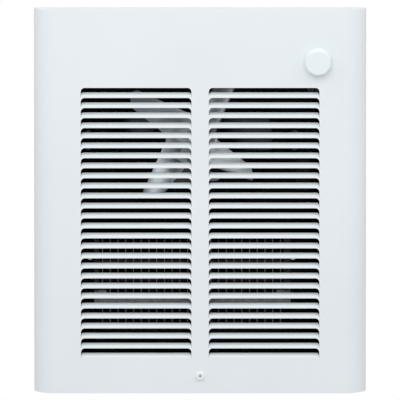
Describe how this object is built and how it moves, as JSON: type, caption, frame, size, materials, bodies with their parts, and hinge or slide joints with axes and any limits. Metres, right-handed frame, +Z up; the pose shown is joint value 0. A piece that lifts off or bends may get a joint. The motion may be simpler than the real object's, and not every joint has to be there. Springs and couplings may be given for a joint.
{
  "type": "recessed wall fan heater",
  "caption": "Recessed bathroom wall fan heater with a louvred cover, thermostat knob, shaded-pole fan and finned heating bank.",
  "frame": {"origin": "centre of the cover's outline on the wall's surface, where the cover's rim seats", "axes": "+X to the viewer's right, +Y into the wall, +Z up; the cover faces -Y"},
  "size_m": [0.362, 0.1324, 0.422],
  "materials": {
    "cover_paint": "satin",
    "knob_plastic": "satin",
    "galvanised": "spangled zinc",
    "green_screw": "satin",
    "black_paint": "satin",
    "zinc_steel": "bright zinc",
    "fan_aluminium": "mill",
    "fin_aluminium": "mill",
    "cast_aluminium": "cast",
    "black_steel": "black oxide",
    "rotor_steel": "ground",
    "lamination_steel": "oiled",
    "copper": "bare copper",
    "coil_tape": "varnished tape",
    "bobbin_nylon": "natural nylon",
    "bronze": "sintered bronze",
    "sheath_steel": "heat darkened",
    "ceramic_beads": "unglazed",
    "black_phenolic": "moulded",
    "brown_phenolic": "moulded"
  },
  "bodies": {
    "heater": {"front_cover": "cover_paint", "cover_screw": "cover_paint", "wall_box_back": "galvanised", "wall_box_sides": "galvanised", "wall_box_ends": "galvanised", "deck_tabs": "galvanised", "cover_hooks": "galvanised", "cover_screw_bracket": "galvanised", "lower_deflector": "galvanised", "element_frame": "galvanised", "motor_mount": "galvanised", "thermostat_bracket": "galvanised", "ground_screw": "green_screw", "fan_deck": "black_paint", "fan_ring": "black_paint", "air_divider": "black_paint", "deck_screws": "zinc_steel", "motor_mount_screws": "zinc_steel", "motor_tie_screws": "zinc_steel", "element_screws": "zinc_steel", "thermostat_nut": "zinc_steel", "thermostat_terminals": "zinc_steel", "element_terminals": "zinc_steel", "element_fins": "fin_aluminium", "motor_front_bracket": "cast_aluminium", "motor_rear_bracket": "cast_aluminium", "motor_laminations": "lamination_steel", "shading_rings": "copper", "motor_coil": "coil_tape", "coil_bobbin": "bobbin_nylon", "motor_bearings": "bronze", "thermostat_bushing": "bronze", "element_tube": "sheath_steel", "element_insulators": "ceramic_beads", "thermal_cutout": "black_phenolic", "fan_delay_switch": "black_phenolic", "thermostat_body": "brown_phenolic", "disconnect_switch": "black_phenolic"},
    "fan": {"fan_blade": "fan_aluminium", "fan_hub": "fan_aluminium", "hub_set_screw": "black_steel", "motor_shaft": "zinc_steel", "motor_rotor": "rotor_steel"},
    "knob": {"thermostat_knob": "knob_plastic", "thermostat_shaft": "zinc_steel"},
    "rocker": {"switch_rocker": "black_phenolic"}
  },
  "joints": [
    {"name": "fan_spin", "type": "hinge", "parent": "heater", "child": "fan", "pos_m": [-0.0094, 0.014, 0.0645], "axis": [0, 1, 0], "continuous": true},
    {"name": "thermostat_turn", "type": "hinge", "parent": "heater", "child": "knob", "pos_m": [0.1285, -0.03, 0.1545], "axis": [0, 1, 0], "range_deg": [0, 270]},
    {"name": "switch_rock", "type": "hinge", "parent": "heater", "child": "rocker", "pos_m": [0.113, 0.0102, 0.026], "axis": [1, 0, 0], "range_deg": [0, 20]}
  ]
}
